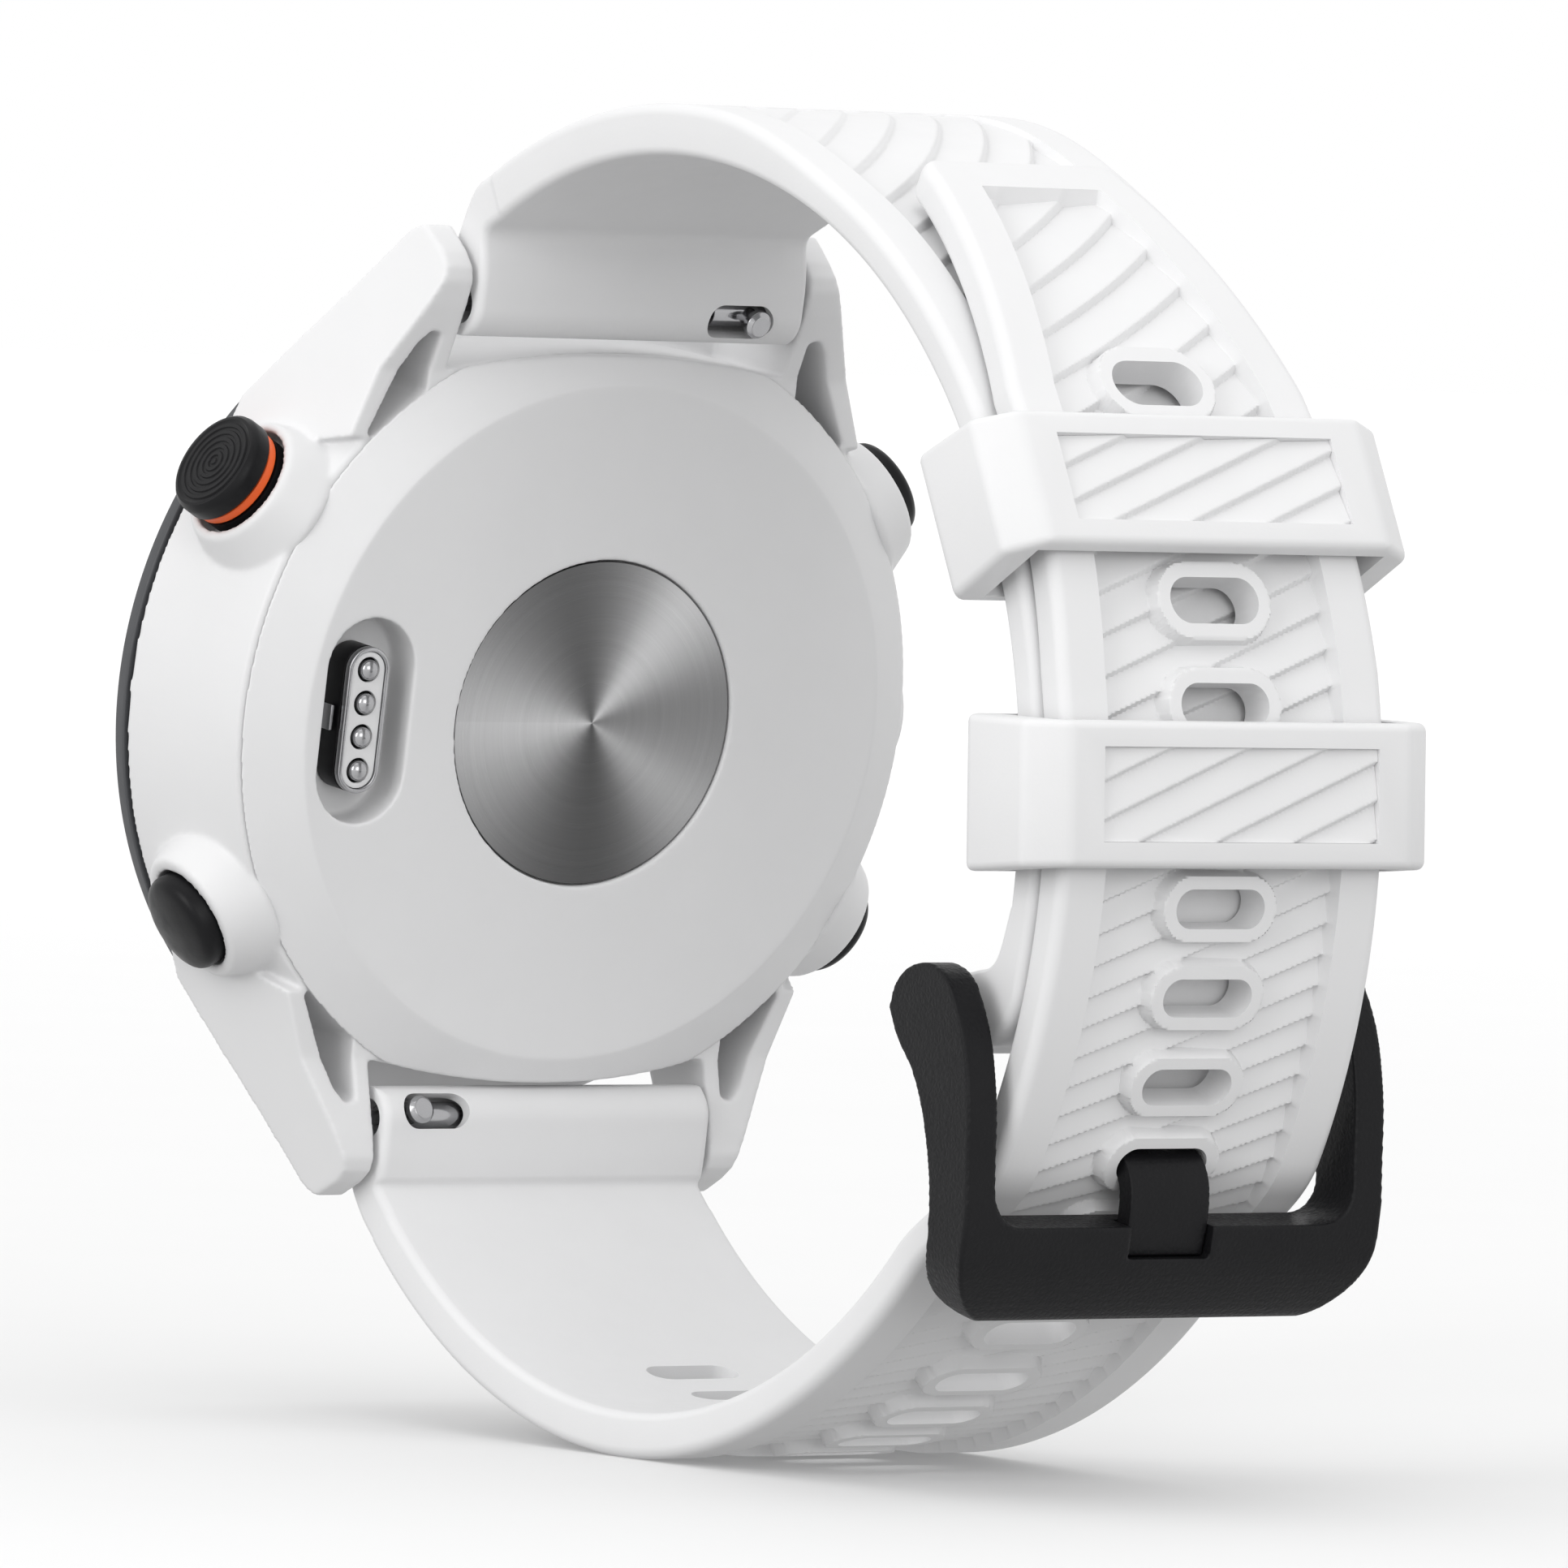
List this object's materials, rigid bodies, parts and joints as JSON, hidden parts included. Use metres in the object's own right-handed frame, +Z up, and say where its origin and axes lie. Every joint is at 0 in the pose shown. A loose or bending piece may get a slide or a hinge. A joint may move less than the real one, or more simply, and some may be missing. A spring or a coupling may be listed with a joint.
{
  "type": "golf gps watch",
  "caption": "Round wristwatch with side push buttons and a charging socket in its back, on a buckled strap with two sliding keepers.",
  "frame": {"origin": "middle of the bounding box, on the ground under the closed strap", "axes": "+Z up, +X from the case towards the buckle side of the closed strap, +Y across the strap towards the side with three buttons; the case leans 8.5 degrees"},
  "size_m": [0.0688, 0.044, 0.0662],
  "materials": {
    "white_polymer": "fine satin grain",
    "white_silicone": "soft satin",
    "black_polymer": "fine leather-like grain",
    "bezel_grey": "dark satin",
    "orange_polymer": "satin",
    "brushed_steel": "radially brushed",
    "polished_steel": "polished",
    "glass": "clear lens over a dark screen",
    "display": "dark screen",
    "circuit_board": "solder mask",
    "battery_foil": "foil wrap",
    "gold": "gold plate",
    "nitrile": "matt seal rubber"
  },
  "bodies": {
    "watch": {"case_body": "white_polymer", "rear_cover": "white_polymer", "back_plate": "brushed_steel", "bezel_ring": "bezel_grey", "front_glass": "glass", "front_gasket": "nitrile", "rear_gasket": "nitrile", "display_panel": "display", "display_frame": "black_polymer", "main_board": "circuit_board", "battery": "battery_foil", "shield_can": "polished_steel", "gps_antenna": "gold", "charge_port_block": "black_polymer", "charge_port_rim": "polished_steel", "charge_port_face": "white_polymer", "charge_contact_1": "gold", "charge_contact_2": "gold", "charge_contact_3": "gold", "charge_contact_4": "gold", "charge_port_latch": "polished_steel", "seal_start": "nitrile", "switch_start": "black_polymer", "seal_back": "nitrile", "switch_back": "black_polymer", "seal_light": "nitrile", "switch_light": "black_polymer", "seal_up": "nitrile", "switch_up": "black_polymer", "seal_down": "nitrile", "switch_down": "black_polymer", "spring_bar_tube_top": "polished_steel", "spring_bar_coil_top": "polished_steel", "spring_bar_tube_bottom": "polished_steel", "spring_bar_coil_bottom": "polished_steel", "strap_long": "white_silicone", "strap_short": "white_silicone", "buckle_pin": "polished_steel"},
    "start_button": {"button_start": "black_polymer", "clip_start": "polished_steel", "button_start_ring": "orange_polymer"},
    "back_button": {"button_back": "black_polymer", "clip_back": "polished_steel"},
    "light_button": {"button_light": "black_polymer", "clip_light": "polished_steel"},
    "up_button": {"button_up": "black_polymer", "clip_up": "polished_steel"},
    "down_button": {"button_down": "black_polymer", "clip_down": "polished_steel"},
    "release_top": {"spring_bar_plunger_top": "polished_steel"},
    "release_bottom": {"spring_bar_plunger_bottom": "polished_steel"},
    "keeper_upper_loop": {"keeper_upper": "white_silicone"},
    "keeper_lower_loop": {"keeper_lower": "white_silicone"},
    "buckle_loop": {"buckle_frame": "black_polymer"},
    "buckle_tongue": {"buckle_tang": "black_polymer"}
  },
  "joints": [
    {"name": "press_start", "type": "slide", "parent": "watch", "child": "start_button", "axis": [-0.0739, 0.866, -0.4945], "range_m": [0, 0.0005], "stiffness_N_per_m": 1500},
    {"name": "press_back", "type": "slide", "parent": "watch", "child": "back_button", "axis": [0.0739, 0.866, 0.4945], "range_m": [0, 0.0005], "stiffness_N_per_m": 1500},
    {"name": "press_light", "type": "slide", "parent": "watch", "child": "light_button", "axis": [-0.0739, -0.866, -0.4945], "range_m": [0, 0.0005], "stiffness_N_per_m": 1500},
    {"name": "press_up", "type": "slide", "parent": "watch", "child": "up_button", "axis": [0, -1, 0], "range_m": [0, 0.0005], "stiffness_N_per_m": 1500},
    {"name": "press_down", "type": "slide", "parent": "watch", "child": "down_button", "axis": [0.0739, -0.866, 0.4945], "range_m": [0, 0.0005], "stiffness_N_per_m": 1500},
    {"name": "slide_release_top", "type": "slide", "parent": "watch", "child": "release_top", "axis": [0, -1, 0], "range_m": [0, 0.0015], "stiffness_N_per_m": 400, "deforming": ["spring_bar_coil_top"]},
    {"name": "slide_release_bottom", "type": "slide", "parent": "watch", "child": "release_bottom", "axis": [0, 1, 0], "range_m": [0, 0.0015], "stiffness_N_per_m": 400, "deforming": ["spring_bar_coil_bottom"]},
    {"name": "slide_keeper_upper", "type": "hinge", "parent": "watch", "child": "keeper_upper_loop", "pos_m": [-0.0016, 0.00007, 0.03298], "axis": [0, -1, 0], "range_deg": [-4, 25]},
    {"name": "slide_keeper_lower", "type": "hinge", "parent": "watch", "child": "keeper_lower_loop", "pos_m": [-0.0016, 0.00007, 0.03298], "axis": [0, -1, 0], "range_deg": [-4, 4]},
    {"name": "swing_buckle_frame", "type": "hinge", "parent": "watch", "child": "buckle_loop", "pos_m": [0.02557, 0.00007, 0.02336], "axis": [0, -1, 0], "range_deg": [0, 1]},
    {"name": "lift_buckle_tang", "type": "hinge", "parent": "watch", "child": "buckle_tongue", "pos_m": [0.02557, 0.00007, 0.02336], "axis": [0, -1, 0], "range_deg": [0, 2]}
  ]
}
